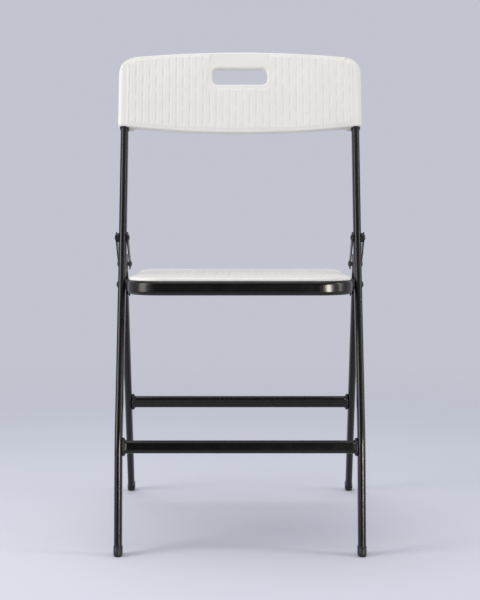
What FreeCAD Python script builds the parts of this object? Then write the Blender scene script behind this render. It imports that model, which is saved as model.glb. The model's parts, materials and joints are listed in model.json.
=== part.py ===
import FreeCAD, Part
import math
import os
from FreeCAD import Placement, Rotation, Vector

os.makedirs("parts", exist_ok=True)

# Folding chair with a bent tube frame and moulded plastic seat and backrest.
# Millimetres. +Z is up, the sitter faces -Y, and the sitter's left is +X.
# The origin lies on the floor, under the middle of the unfolded chair.

X_AXIS = Vector(1, 0, 0)
Y_AXIS = Vector(0, 1, 0)
Z_AXIS = Vector(0, 0, 1)

# Flat-oval tube that every leg and the seat frame are bent from.
TUBE_WIDTH = 13.0
TUBE_DEPTH = 24.0
TUBE_WALL = 1.2
BEND_RADIUS = 140.0

# Front legs, which run on upwards as the uprights of the back.
FRONT_FOOT_Y = -265.6
FRONT_LEG_X = 203.3
LOWER_BEND = (FRONT_FOOT_Y + 26.0, 190.0)
UPPER_BEND = (FRONT_FOOT_Y + 127.0, 490.0)
UPPER_LEAN = 15.5
UPRIGHT_TOP_Z = 826.0

# Rear legs, straight and splayed outwards towards the floor.
REAR_FOOT_Y = FRONT_FOOT_Y + 530.0
REAR_FOOT_X = 221.5
REAR_PIVOT = (FRONT_FOOT_Y + 214.0, 439.0)
REAR_PIVOT_X = 206.8
REAR_LINK_DISTANCE = 48.0
REAR_TOP_MARGIN = 13.0

# Flat-oval cross rails between the legs, each with its tall side in the plane of its legs.
FRONT_RAIL = (12.4, 21.8)
REAR_RAIL = (13.4, 25.4)
RAIL_WALL = 1.2
WELD_RISE = 3.8
WELD_LENGTH = 7.0
FRONT_RAIL_Z = 179.0
REAR_RAIL_Z = 202.0

# Feet.
CAP_WALL = 1.2
CAP_HEIGHT = 16.0
CAP_FLOOR = 3.0

# Folding linkage: front legs - seat - rear legs - links.
SEAT_PIVOT_Z = 446.0
FOLDED_REAR_LEAN = 17.4
FOLDED_OFFSET = 25.2
RIVET_RADIUS = 4.0
RUNNING_CLEARANCE = 0.05
FACE_GAP = 0.3
RIVET_HEAD_RADIUS = 6.5
RIVET_HEAD_HEIGHT = 2.6
SEAT_RIVET_EXTRA_HEIGHT = 0.4
REAR_RIVET_LOWER_HEIGHT = 0.4
LEG_PLAY = 0.6
SEAT_SPACER_RADIUS = 9.0
DRILL_REACH = 250.0
DRILL_INNER = 150.0

# Link plates each side of the legs.
LINK_HALF_WIDTH = 10.0
LINK_THICKNESS = 2.0
OUTER_LINK_X = 213.2
INNER_LINK_X = 194.0
LINK_SPACER_RADIUS = 8.0

# Plastic plugs in the open ends of the tubes.
PLUG_CAP = 2.0
PLUG_STEM = 9.0
PLUG_FIT = 0.1

# Seat: U-shaped tube, cross bars and moulded panel, all tipped back a little.
SEAT_HALF_WIDTH = 188.0
SEAT_FRONT_Y = FRONT_FOOT_Y - 15.0
SEAT_CORNER_RADIUS = 58.0
SEAT_TUBE_Z = 447.5
SEAT_TIP_BACK = 0.75
SEAT_ARM_END_Y = FRONT_FOOT_Y + 350.0
SEAT_BAR_RADIUS = 6.0
SEAT_BAR_DROP = 5.0
SEAT_BAR_YS = (FRONT_FOOT_Y + 165.0, FRONT_FOOT_Y + 325.0)
PANEL_HALF_WIDTH = 185.0
PANEL_FRONT_Y = FRONT_FOOT_Y - 13.0
PANEL_REAR_Y = FRONT_FOOT_Y + 366.0
PANEL_FRONT_CORNER = 55.0
PANEL_REAR_CORNER = 34.0
PANEL_RIM = 5.2
PANEL_EDGE_ROUND = 2.4
PAN_INSET = 18.0
PAN_DEPTH = 10.0
PAN_WALL = 2.6
SCREW_RADIUS = 2.5
SCREW_HEAD_RADIUS = 5.0
SCREW_CROWN_RADIUS = 3.3
SCREW_HEAD_HEIGHT = 1.8
SCREW_BITE = 4.0
SCREW_YS = (FRONT_FOOT_Y + 66.0, FRONT_FOOT_Y + 262.0, FRONT_FOOT_Y + 338.0)

# Rear pivot bracket on each seat arm.
BRACKET_THICKNESS = 2.4
BRACKET_X = 197.0
BRACKET_HALF_LENGTH = 16.0
BRACKET_HALF_WIDTH = 12.0
BRACKET_DROP = 4.0
BRACKET_BOSS_RADIUS = 7.0

# Backrest panel, drawn upright about its own centre and then leaned back.
BACK_CENTRE_Z = 783.0
BACK_HALF_WIDTH = 214.6
BACK_TOP_MIDDLE = 73.9
BACK_TOP_END = 55.2
BACK_BOTTOM_MIDDLE = -75.5
BACK_BOTTOM_END = -68.2
BACK_TOP_CORNER = 28.0
BACK_END_DEPTH = 16.5
BACK_HOLLOW = 18.0
BACK_MIDDLE_DEPTH = 14.0
BACK_FIELD_HALF_WIDTH = 182.0
BACK_FIELD_END_DEPTH = 16.0
BACK_SOCKET_X = 190.0
BACK_END_ROUND = 9.0
BACK_END_TRIM = 0.6
BACK_WALL = 3.0
BACK_CAVITY_HALF_WIDTH = 180.0
SLOT_WIDTH = 97.0
SLOT_HEIGHT = 30.0
SLOT_CORNER = 9.0
SLOT_RISE = 28.6
BACK_RIVET_RISES = (-42.0, 22.0)
GROMMET_RIM = 1.4
GROMMET_BELOW = 3.0
GROMMET_ABOVE = 5.0

# Construction blocks: one larger than the chair, one that reaches past the backrest on every side.
CHAIR_BLOCK = 1600.0
BACK_BLOCK = 100.0


def point(x, yz):
    """A point at x in the side-view position yz."""
    return Vector(x, yz[0], yz[1])


def turn(vector, degrees):
    """The side-view vector turned about +X."""
    c = math.cos(math.radians(degrees))
    s = math.sin(math.radians(degrees))
    return (vector[0] * c - vector[1] * s, vector[0] * s + vector[1] * c)


def flat_oval(centre, across, along, width, depth):
    """Closed flat-oval wire, width wide in the direction across and depth deep in the direction along."""
    r = width / 2
    half = depth / 2 - r
    a, b = across * r, along * half
    tip = along * (half + r)
    return Part.Wire([
        Part.LineSegment(centre + a - b, centre + a + b).toShape(),
        Part.Arc(centre + a + b, centre + tip, centre - a + b).toShape(),
        Part.LineSegment(centre - a + b, centre - a - b).toShape(),
        Part.Arc(centre - a - b, centre - tip, centre + a - b).toShape(),
    ])


def bent_path(points, radii):
    """Straight runs through the points, joined by tangent arcs of the given radii."""
    edges = []
    start = points[0]
    for before, corner, after, radius in zip(points, points[1:], points[2:], radii):
        into = (corner - before).normalize()
        out = (after - corner).normalize()
        half_turn = into.getAngle(out) / 2
        setback = radius * math.tan(half_turn)
        first, last = corner - into * setback, corner + out * setback
        inward = (out - into).normalize()
        middle = corner + inward * (radius / math.cos(half_turn) - radius)
        edges.append(Part.LineSegment(start, first).toShape())
        edges.append(Part.Arc(first, middle, last).toShape())
        start = last
    edges.append(Part.LineSegment(start, points[-1]).toShape())
    return Part.Wire(edges)


def bent_bar(points, radii, across, width, depth):
    """Solid flat-oval bar along a bent path; across is the direction of its width at the start."""
    along = across.cross((points[1] - points[0]).normalize()).normalize()
    profile = flat_oval(points[0], across, along, width, depth)
    return bent_path(points, radii).makePipeShell([profile], True, False)


def bent_tube(points, radii, across):
    """Hollow flat-oval tube along a bent path."""
    outer = bent_bar(points, radii, across, TUBE_WIDTH, TUBE_DEPTH)
    inner = bent_bar(points, radii, across, TUBE_WIDTH - 2 * TUBE_WALL, TUBE_DEPTH - 2 * TUBE_WALL)
    return outer.cut(inner)


def tube_plug(centre, across, along, outward):
    """Plug with a flat cap outside a tube's end and a stem inside it."""
    lost = 2 * TUBE_WALL + PLUG_FIT
    cap = Part.Face(flat_oval(centre, across, along, TUBE_WIDTH, TUBE_DEPTH)).extrude(outward * PLUG_CAP)
    inside = flat_oval(centre, across, along, TUBE_WIDTH - lost, TUBE_DEPTH - lost)
    return cap.fuse(Part.Face(inside).extrude(outward * -PLUG_STEM))


def drill(yz, radius, start=-DRILL_REACH):
    """Round cutter along X through everything from start outwards."""
    return rod(start, DRILL_REACH, yz, radius)


def rod(x_start, x_end, yz, radius):
    """Cylinder along X between two x positions."""
    return Part.makeCylinder(radius, x_end - x_start, point(x_start, yz), X_AXIS)


def head(x_base, direction, yz, radius, height):
    """Domed rivet head that stands out from x_base towards direction (+1 or -1)."""
    ball_radius = (radius ** 2 + height ** 2) / (2 * height)
    half_way = math.asin(radius / ball_radius) / 2
    centre = point(x_base, yz)
    crown = centre + X_AXIS * direction * height
    rim = centre + Y_AXIS * radius
    ball_centre = crown - X_AXIS * direction * ball_radius
    shoulder = ball_centre + (
        X_AXIS * direction * math.cos(half_way) + Y_AXIS * math.sin(half_way)
    ) * ball_radius
    outline = Part.Wire([
        Part.LineSegment(centre, crown).toShape(),
        Part.Arc(crown, shoulder, rim).toShape(),
        Part.LineSegment(rim, centre).toShape(),
    ])
    return Part.Face(outline).revolve(centre, X_AXIS, 360)


def above(z):
    """A large block that holds everything above a height."""
    corner = Vector(-CHAIR_BLOCK / 2, -CHAIR_BLOCK / 2, z)
    return Part.makeBox(CHAIR_BLOCK, CHAIR_BLOCK, CHAIR_BLOCK, corner)


def front_leg_y(z):
    """Side-view position of the front leg's middle line between its lower bend and the backrest."""
    if z <= UPPER_BEND[1]:
        slope = (UPPER_BEND[0] - LOWER_BEND[0]) / (UPPER_BEND[1] - LOWER_BEND[1])
        return LOWER_BEND[0] + (z - LOWER_BEND[1]) * slope
    return UPPER_BEND[0] + (z - UPPER_BEND[1]) * math.tan(math.radians(UPPER_LEAN))


# ---------------------------------------------------------------- linkage geometry
# The seat turns on the front legs, the rear legs turn on the seat, and a link on each side joins the
# tops of the rear legs to the front legs. Both the open and the folded chair close exactly.
seat_pivot = (front_leg_y(SEAT_PIVOT_Z), SEAT_PIVOT_Z)
seat_arm = (REAR_PIVOT[0] - seat_pivot[0], REAR_PIVOT[1] - seat_pivot[1])
arm_length = math.hypot(*seat_arm)
rear_lean = math.degrees(math.atan2(REAR_FOOT_Y - REAR_PIVOT[0], REAR_PIVOT[1]))
rear_link_pivot = (
    REAR_PIVOT[0] - REAR_LINK_DISTANCE * math.sin(math.radians(rear_lean)),
    REAR_PIVOT[1] + REAR_LINK_DISTANCE * math.cos(math.radians(rear_lean)),
)

# Folded, the rear legs lie behind the front legs, FOLDED_OFFSET from the upper bend.
folded_normal = (math.cos(math.radians(FOLDED_REAR_LEAN)), -math.sin(math.radians(FOLDED_REAR_LEAN)))
pivot_offset = FOLDED_OFFSET - sum(
    n * (p - b) for n, p, b in zip(folded_normal, seat_pivot, UPPER_BEND)
)
folded_arm_angle = 90 - FOLDED_REAR_LEAN - math.degrees(math.asin(pivot_offset / arm_length))
SEAT_FOLD = folded_arm_angle - math.degrees(math.atan2(seat_arm[1], seat_arm[0]))
REAR_FOLD = -(rear_lean + FOLDED_REAR_LEAN)
folded_arm = turn(seat_arm, SEAT_FOLD)
folded_rear_pivot = (seat_pivot[0] + folded_arm[0], seat_pivot[1] + folded_arm[1])
reach = turn((rear_link_pivot[0] - REAR_PIVOT[0], rear_link_pivot[1] - REAR_PIVOT[1]), REAR_FOLD)
folded_link_pivot = (folded_rear_pivot[0] + reach[0], folded_rear_pivot[1] + reach[1])

# The link's front pivot is the point of the front leg at equal distances from both places.
low, high = UPPER_BEND[1], UPPER_BEND[1] + 100.0
for _ in range(60):
    middle = (low + high) / 2
    candidate = (front_leg_y(middle), middle)
    if math.dist(candidate, rear_link_pivot) < math.dist(candidate, folded_link_pivot):
        low = middle
    else:
        high = middle
front_link_pivot = (front_leg_y(low), low)
open_angle = math.atan2(rear_link_pivot[1] - low, rear_link_pivot[0] - front_link_pivot[0])
folded_angle = math.atan2(folded_link_pivot[1] - low, folded_link_pivot[0] - front_link_pivot[0])
LINK_FOLD = math.degrees(folded_angle - open_angle)

rear_axis = (Vector(REAR_PIVOT_X, *REAR_PIVOT) - Vector(REAR_FOOT_X, REAR_FOOT_Y, 0)).normalize()
rear_axis_per_z = rear_axis * (1 / rear_axis.z)


def rear_leg_at(z):
    """Point of the rear leg's middle line at a height."""
    return Vector(REAR_FOOT_X, REAR_FOOT_Y, 0) + rear_axis_per_z * z


# ---------------------------------------------------------------- front frame
def front_leg_points():
    top_y = front_leg_y(UPRIGHT_TOP_Z)
    return [
        Vector(FRONT_LEG_X, FRONT_FOOT_Y, 0),
        point(FRONT_LEG_X, LOWER_BEND),
        point(FRONT_LEG_X, UPPER_BEND),
        Vector(FRONT_LEG_X, top_y, UPRIGHT_TOP_Z),
    ]


def front_leg():
    """One bent tube from the foot up into the backrest, drilled for its rivets."""
    tube = bent_tube(front_leg_points(), [BEND_RADIUS] * 2, X_AXIS).common(above(CAP_FLOOR))
    for pivot in (seat_pivot, front_link_pivot):
        clearance = RUNNING_CLEARANCE if pivot is front_link_pivot else 0.0
        tube = tube.cut(drill(pivot, RIVET_RADIUS + clearance, DRILL_INNER))
    for rise in BACK_RIVET_RISES:
        tube = tube.cut(back_rivet_hole(rise))
    return tube


def foot_cap(points, across):
    """Plastic glide pushed over a leg's end, flat where it stands on the floor."""
    foot, above_foot = points[0], points[1]
    up = (above_foot - foot).normalize()
    start, rim = foot - up * 2 * CAP_HEIGHT, foot + up * CAP_HEIGHT
    outer = bent_bar([start, rim], [], across, TUBE_WIDTH + 2 * CAP_WALL, TUBE_DEPTH + 2 * CAP_WALL)
    leg = bent_bar([start, above_foot], [], across, TUBE_WIDTH, TUBE_DEPTH).common(above(CAP_FLOOR))
    return outer.common(above(0)).cut(leg)


def cross_rail(half_length, y, z, up, section):
    """Flat-oval tube between two legs, with a raised weld ring at each end; up is its tall direction."""
    width, height = section
    flat = up.cross(X_AXIS).normalize()

    def outline(x, growth):
        return flat_oval(Vector(x, y, z), flat, up, width + growth, height + growth)

    length = X_AXIS * 2 * half_length
    rail = Part.Face(outline(-half_length, 0)).extrude(length)
    for side in (1, -1):
        end = side * half_length
        rings = [outline(end, 2 * WELD_RISE), outline(end - side * WELD_LENGTH, 0)]
        rail = rail.fuse(Part.makeLoft(rings, True, True))
    return rail.cut(Part.Face(outline(-half_length, -2 * RAIL_WALL)).extrude(length))


def on_back(shape):
    """Leans a shape drawn about the backrest's own centre and sets it in place."""
    turned = shape.copy()
    turned.Placement = Placement(
        Vector(0, front_leg_y(BACK_CENTRE_Z), BACK_CENTRE_Z), Rotation(X_AXIS, -UPPER_LEAN)
    )
    return turned


def back_rivet_hole(rise):
    """Bore for one backrest rivet, from the back face into the upright."""
    start = Vector(FRONT_LEG_X, 0, rise)
    return on_back(Part.makeCylinder(SCREW_RADIUS + RUNNING_CLEARANCE, BACK_BLOCK, start, Y_AXIS))


def arc_through(half_width, end, middle, make):
    """Arc from -half_width to +half_width through a middle point; make maps (x, value) to a point."""
    return Part.Arc(make(-half_width, end), make(0, middle), make(half_width, end)).toShape()


def slab_between(half_width, low_end, low_middle, high_end, high_middle, make, extrusion):
    """Solid between two arcs, with straight ends."""
    lower = arc_through(half_width, low_end, low_middle, make)
    upper = arc_through(half_width, high_end, high_middle, make)
    right = Part.LineSegment(make(half_width, low_end), make(half_width, high_end)).toShape()
    left = Part.LineSegment(make(-half_width, high_end), make(-half_width, low_end)).toShape()
    return Part.Face(Part.Wire(Part.__sortEdges__([lower, right, upper, left]))).extrude(extrusion)


def round_edges(solid, radius, test):
    """Rounds the straight edges whose middle point and direction pass the test."""
    chosen = [e for e in solid.Edges if test(e.valueAt((e.FirstParameter + e.LastParameter) / 2), e)]
    return solid.makeFillet(radius, chosen)


def back_plan(inset):
    """Plan outline of the backrest: bowed in front, thin behind the field and deep at the sockets."""
    half_width = BACK_HALF_WIDTH - inset + BACK_END_TRIM
    front_middle = BACK_HOLLOW - BACK_END_DEPTH
    field_end = (
        front_middle - BACK_HOLLOW * (BACK_FIELD_HALF_WIDTH / BACK_HALF_WIDTH) ** 2 + BACK_FIELD_END_DEPTH
    )

    def make(x, w):
        return Vector(x, w, -BACK_BLOCK)

    rear = BACK_END_DEPTH - inset
    corners = [
        make(half_width, -BACK_END_DEPTH + inset), make(half_width, rear), make(BACK_SOCKET_X, rear),
        make(BACK_FIELD_HALF_WIDTH, field_end - inset),
    ]
    mirrored = [Vector(-corner.x, corner.y, corner.z) for corner in corners]
    edges = [
        arc_through(half_width, -BACK_END_DEPTH + inset, front_middle + inset, make),
        arc_through(
            BACK_FIELD_HALF_WIDTH, field_end - inset, front_middle + BACK_MIDDLE_DEPTH - inset, make
        ),
    ]
    for side in (corners, mirrored):
        edges += [Part.LineSegment(a, b).toShape() for a, b in zip(side, side[1:])]
    return Part.Wire(Part.__sortEdges__(edges))


def back_blank(inset):
    """The backrest's outer form, or the form of its cavity when inset is the wall."""
    half_width = BACK_HALF_WIDTH - inset
    front = slab_between(
        half_width,
        BACK_BOTTOM_END + inset, BACK_BOTTOM_MIDDLE + inset,
        BACK_TOP_END - inset, BACK_TOP_MIDDLE - inset,
        lambda x, u: Vector(x, -BACK_BLOCK, u), Y_AXIS * 2 * BACK_BLOCK,
    )
    front = round_edges(
        front, BACK_TOP_CORNER - inset, lambda p, e: abs(p.x) > half_width - 1 and p.z > 0 and abs(p.y) < 1
    )
    plan = Part.Face(back_plan(inset)).extrude(Z_AXIS * 2 * BACK_BLOCK)
    plan = round_edges(
        plan, BACK_END_ROUND - inset, lambda p, e: abs(p.x) > half_width and abs(p.z) < 1
    )
    return front.common(plan)


def slot_solid(margin):
    """Block that fills the hand slot, margin larger all round."""
    width, height = SLOT_WIDTH + 2 * margin, SLOT_HEIGHT + 2 * margin
    corner = Vector(-width / 2, -BACK_BLOCK, SLOT_RISE - height / 2)
    block = Part.makeBox(width, 2 * BACK_BLOCK, height, corner)
    return round_edges(block, SLOT_CORNER + margin, lambda p, e: abs(p.y) < 1)


def upright_in_back():
    """The upright's outer form where it sits in the backrest, as one solid bar."""
    fit = 2 * RUNNING_CLEARANCE
    return bent_bar(front_leg_points(), [BEND_RADIUS] * 2, X_AXIS, TUBE_WIDTH + fit, TUBE_DEPTH + fit)


def grommet(fit):
    """Collar round one upright where it enters the backrest."""
    width, depth = TUBE_WIDTH + 2 * GROMMET_RIM, TUBE_DEPTH + 2 * GROMMET_RIM
    base = Vector(FRONT_LEG_X, 0, BACK_BOTTOM_END - GROMMET_BELOW)
    ring = Part.Face(flat_oval(base, X_AXIS, Y_AXIS, width + 2 * fit, depth + 2 * fit))
    return on_back(ring.extrude(Z_AXIS * (GROMMET_BELOW + GROMMET_ABOVE)))


def both_sides(shape):
    return [shape, shape.mirror(Vector(0, 0, 0), X_AXIS)]


def backrest_panel():
    """Blow-moulded hollow panel with a hand slot and a socket for each upright."""
    panel = back_blank(0)
    between = Part.makeBox(
        2 * BACK_CAVITY_HALF_WIDTH, 2 * BACK_BLOCK, 2 * BACK_BLOCK,
        Vector(-BACK_CAVITY_HALF_WIDTH, -BACK_BLOCK, -BACK_BLOCK),
    )
    cavity = back_blank(BACK_WALL).common(between).cut(slot_solid(BACK_WALL))
    panel = panel.cut(slot_solid(0)).cut(cavity)
    panel = on_back(panel)
    for socket in both_sides(upright_in_back()) + both_sides(grommet(RUNNING_CLEARANCE)):
        panel = panel.cut(socket)
    for rise in BACK_RIVET_RISES:
        for hole in both_sides(back_rivet_hole(rise)):
            panel = panel.cut(hole)
    return panel


def back_rivets():
    """Rivets from the back face through the panel and into the uprights."""
    rivets = []
    seat = BACK_END_DEPTH + RUNNING_CLEARANCE
    for rise in BACK_RIVET_RISES:
        shank = Part.makeCylinder(SCREW_RADIUS, seat, Vector(FRONT_LEG_X, 0, rise), Y_AXIS)
        cap = Part.makeCone(
            SCREW_HEAD_RADIUS, SCREW_CROWN_RADIUS, SCREW_HEAD_HEIGHT,
            Vector(FRONT_LEG_X, seat, rise), Y_AXIS,
        )
        rivets += both_sides(on_back(shank.fuse(cap)))
    return Part.makeCompound(rivets)


# ---------------------------------------------------------------- pivots
def seat_pivot_rivet():
    """Rivet through the front leg, a spacer and the seat arm."""
    outer_x = FRONT_LEG_X + TUBE_WIDTH / 2
    inner_x = SEAT_HALF_WIDTH - TUBE_WIDTH - FACE_GAP
    return (
        rod(inner_x, outer_x, seat_pivot, RIVET_RADIUS)
        .fuse(head(outer_x, 1, seat_pivot, RIVET_HEAD_RADIUS, RIVET_HEAD_HEIGHT + SEAT_RIVET_EXTRA_HEIGHT))
        .fuse(head(inner_x, -1, seat_pivot, RIVET_HEAD_RADIUS, RIVET_HEAD_HEIGHT))
    )


def ring(x_start, x_end, yz, radius, hole):
    return rod(x_start, x_end, yz, radius).cut(rod(x_start, x_end, yz, hole))


def seat_pivot_spacer():
    """Plastic spacer between the front leg and the seat arm."""
    end = FRONT_LEG_X - TUBE_WIDTH / 2
    return ring(SEAT_HALF_WIDTH + FACE_GAP, end, seat_pivot, SEAT_SPACER_RADIUS, RIVET_RADIUS + RUNNING_CLEARANCE)


def rear_pivot_rivet():
    """Rivet through the rear pivot bracket and the rear leg."""
    outer_x = REAR_PIVOT_X + TUBE_WIDTH / 2 + LEG_PLAY
    inner_x = SEAT_HALF_WIDTH - TUBE_WIDTH
    return (
        rod(inner_x, outer_x, REAR_PIVOT, RIVET_RADIUS)
        .fuse(head(outer_x, 1, REAR_PIVOT, RIVET_HEAD_RADIUS, RIVET_HEAD_HEIGHT - REAR_RIVET_LOWER_HEIGHT))
        .fuse(head(inner_x, -1, REAR_PIVOT, RIVET_HEAD_RADIUS, RIVET_HEAD_HEIGHT))
    )


def rear_pivot_bracket():
    """Plate on the seat arm that carries the rear leg, held off the arm by a boss."""
    centre = point(BRACKET_X, REAR_PIVOT) - Z_AXIS * BRACKET_DROP
    oval = flat_oval(centre, Y_AXIS, Z_AXIS, 2 * BRACKET_HALF_WIDTH, 2 * BRACKET_HALF_LENGTH)
    plate = Part.Face(oval).extrude(X_AXIS * BRACKET_THICKNESS)
    boss = rod(SEAT_HALF_WIDTH, BRACKET_X, REAR_PIVOT, BRACKET_BOSS_RADIUS)
    return plate.fuse(boss).cut(drill(REAR_PIVOT, RIVET_RADIUS, DRILL_INNER))


def link_plate(x, boss_holes):
    """Flat plate with round ends from the front link pivot to the rear one."""
    run = point(0, rear_link_pivot) - point(0, front_link_pivot)
    along = Vector(run).normalize()
    across = along.cross(X_AXIS)
    centre = (point(x, front_link_pivot) + point(x, rear_link_pivot)) * 0.5
    oval = flat_oval(centre, across, along, 2 * LINK_HALF_WIDTH, run.Length + 2 * LINK_HALF_WIDTH)
    plate = Part.Face(oval).extrude(X_AXIS * LINK_THICKNESS)
    for pivot in boss_holes:
        plate = plate.cut(drill(pivot, RIVET_RADIUS, DRILL_INNER))
    return plate


def link_front_rivet():
    """Rivet through both link plates and the front leg."""
    outer_x = OUTER_LINK_X + LINK_THICKNESS
    return (
        rod(INNER_LINK_X, outer_x, front_link_pivot, RIVET_RADIUS)
        .fuse(head(outer_x, 1, front_link_pivot, RIVET_HEAD_RADIUS, RIVET_HEAD_HEIGHT))
        .fuse(head(INNER_LINK_X, -1, front_link_pivot, RIVET_HEAD_RADIUS, RIVET_HEAD_HEIGHT))
    )


def link_rear_rivet():
    """The two ends of the rivet that closes the linkage at the top of the rear leg."""
    leg_x = rear_leg_at(rear_link_pivot[1]).x
    outer_x = OUTER_LINK_X + LINK_THICKNESS
    outer = rod(leg_x + TUBE_WIDTH / 2 + LEG_PLAY, outer_x, rear_link_pivot, RIVET_RADIUS).fuse(
        head(outer_x, 1, rear_link_pivot, RIVET_HEAD_RADIUS, RIVET_HEAD_HEIGHT)
    )
    inner = rod(INNER_LINK_X, leg_x - TUBE_WIDTH / 2 - LEG_PLAY, rear_link_pivot, RIVET_RADIUS).fuse(
        head(INNER_LINK_X, -1, rear_link_pivot, RIVET_HEAD_RADIUS, RIVET_HEAD_HEIGHT)
    )
    return Part.makeCompound([outer, inner])


def link_spacer():
    """Washer that holds the outer link plate off the front leg."""
    start = FRONT_LEG_X + TUBE_WIDTH / 2 + FACE_GAP
    return ring(start, OUTER_LINK_X, front_link_pivot, LINK_SPACER_RADIUS, RIVET_RADIUS)


# ---------------------------------------------------------------- rear frame
def rear_leg_points():
    top = rear_leg_at(rear_link_pivot[1]) + rear_axis * REAR_TOP_MARGIN
    return [Vector(REAR_FOOT_X, REAR_FOOT_Y, 0), top]


def rear_leg_across():
    return (X_AXIS - rear_axis * rear_axis.x).normalize()


def rear_leg():
    """Straight tube from the foot to the link, cut level near the floor."""
    foot, top = rear_leg_points()
    start = foot - rear_axis * CAP_HEIGHT
    tube = bent_tube([start, top], [], rear_leg_across()).common(above(CAP_FLOOR))
    return tube.cut(drill(REAR_PIVOT, RIVET_RADIUS + RUNNING_CLEARANCE, DRILL_INNER))


def rear_leg_plug():
    """Plastic plug that closes the top of a rear leg."""
    across = rear_leg_across()
    along = across.cross(rear_axis).normalize()
    return tube_plug(rear_leg_points()[1], across, along, rear_axis)


# ---------------------------------------------------------------- seat
def on_seat(shape):
    """Tips a level seat part back about the middle of the front bar."""
    turned = shape.copy()
    turned.rotate(Vector(0, SEAT_FRONT_Y, SEAT_TUBE_Z), X_AXIS, -SEAT_TIP_BACK)
    return turned


def seat_frame():
    """U-shaped tube, drilled for the pivots and the panel's screws."""
    x = SEAT_HALF_WIDTH - TUBE_WIDTH / 2
    front = SEAT_FRONT_Y + TUBE_WIDTH / 2
    z = SEAT_TUBE_Z
    points = [
        Vector(x, SEAT_ARM_END_Y, z), Vector(x, front, z), Vector(-x, front, z), Vector(-x, SEAT_ARM_END_Y, z)
    ]
    radius = SEAT_CORNER_RADIUS - TUBE_WIDTH / 2
    tube = on_seat(bent_tube(points, [radius] * 2, X_AXIS))
    for pivot, clearance in ((seat_pivot, RUNNING_CLEARANCE), (REAR_PIVOT, 0.0)):
        tube = tube.cut(drill(pivot, RIVET_RADIUS + clearance))
    for hole in screw_holes():
        tube = tube.cut(hole)
    return tube


def seat_frame_plug():
    """Plastic plug in the open end of a seat arm."""
    centre = Vector(SEAT_HALF_WIDTH - TUBE_WIDTH / 2, SEAT_ARM_END_Y, SEAT_TUBE_Z)
    return on_seat(tube_plug(centre, X_AXIS, Z_AXIS, Y_AXIS))


def seat_bar(y):
    """Round bar welded between the seat arms under the panel."""
    half = SEAT_HALF_WIDTH - TUBE_WIDTH
    z = SEAT_TUBE_Z - SEAT_BAR_DROP
    return on_seat(Part.makeCylinder(SEAT_BAR_RADIUS, 2 * half, Vector(-half, y, z), X_AXIS))


def screw_bases():
    """Points on the underside of the left seat arm where the screws enter."""
    x = SEAT_HALF_WIDTH - TUBE_WIDTH / 2
    return [Vector(x, y, SEAT_TUBE_Z - TUBE_DEPTH / 2) for y in SCREW_YS]


def screw_shank(base, clearance):
    return Part.makeCylinder(SCREW_RADIUS + clearance, TUBE_DEPTH + SCREW_BITE, base)


def screw_holes():
    """Cutters for the screws that come up through the seat arms into the panel."""
    holes = []
    for base in screw_bases():
        holes += both_sides(on_seat(screw_shank(base, RUNNING_CLEARANCE)))
    return holes


def seat_screws():
    """Screws with pan heads against the underside of the seat arms."""
    screws = []
    for base in screw_bases():
        pan = Part.makeCone(
            SCREW_CROWN_RADIUS, SCREW_HEAD_RADIUS, SCREW_HEAD_HEIGHT, base - Z_AXIS * SCREW_HEAD_HEIGHT
        )
        screws += both_sides(on_seat(screw_shank(base, 0.0).fuse(pan)))
    return Part.makeCompound(screws)


def panel_block(inset, z, height):
    """Block with the seat panel's plan outline."""
    half = PANEL_HALF_WIDTH - inset
    front, rear = PANEL_FRONT_Y + inset, PANEL_REAR_Y - inset
    block = Part.makeBox(2 * half, rear - front, height, Vector(-half, front, z))
    middle = z + height / 2
    block = round_edges(
        block, PANEL_FRONT_CORNER - inset, lambda p, e: abs(p.z - middle) < 0.01 and p.y < front + 1
    )
    return round_edges(
        block, PANEL_REAR_CORNER - min(inset, PAN_INSET), lambda p, e: abs(p.z - middle) < 0.01
        and p.y > rear - 1 and e.Length < height + 0.01
    )


def seat_panel():
    """Moulded seat: a rim that rests on the frame and a hollow pan between the seat arms."""
    rest = SEAT_TUBE_Z + TUBE_DEPTH / 2
    rim = panel_block(0, rest, PANEL_RIM)
    rim = rim.makeFillet(PANEL_EDGE_ROUND, [e for e in rim.Edges if e.BoundBox.ZMin > rest + PANEL_RIM - 0.01])
    pan = panel_block(PAN_INSET, rest - PAN_DEPTH, PAN_DEPTH)
    cavity = panel_block(
        PAN_INSET + PAN_WALL, rest - PAN_DEPTH + PAN_WALL, PAN_DEPTH + PANEL_RIM - 2 * PAN_WALL
    )
    panel = on_seat(rim.fuse(pan).cut(cavity))
    for hole in screw_holes():
        panel = panel.cut(hole)
    return panel


# ---------------------------------------------------------------- write every node
nodes = {}
front_leg_inner_x = FRONT_LEG_X - TUBE_WIDTH / 2
front_shin = point(0, LOWER_BEND) - Vector(0, FRONT_FOOT_Y, 0)
front_rail_y = FRONT_FOOT_Y + front_shin.y * FRONT_RAIL_Z / front_shin.z
rear_rail_centre = rear_leg_at(REAR_RAIL_Z)
rear_weld_slope = (REAR_RAIL[1] / 2 + WELD_RISE) * abs(rear_axis_per_z.x)
rear_rail_half = rear_rail_centre.x - TUBE_WIDTH / 2 / rear_leg_across().x - rear_weld_slope
rear_shin = Vector(0, rear_axis.y, rear_axis.z)

nodes["front_cross_rail"] = cross_rail(
    front_leg_inner_x, front_rail_y, FRONT_RAIL_Z, front_shin.normalize(), FRONT_RAIL
)
nodes["backrest_panel"] = backrest_panel()
nodes["backrest_rivets"] = back_rivets()
nodes["seat_panel"] = seat_panel()
nodes["seat_frame"] = seat_frame()
nodes["seat_middle_bar"] = seat_bar(SEAT_BAR_YS[0])
nodes["seat_rear_bar"] = seat_bar(SEAT_BAR_YS[1])
nodes["seat_screws"] = seat_screws()
nodes["rear_cross_rail"] = cross_rail(
    rear_rail_half, rear_rail_centre.y, REAR_RAIL_Z, rear_shin.normalize(), REAR_RAIL
)

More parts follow.
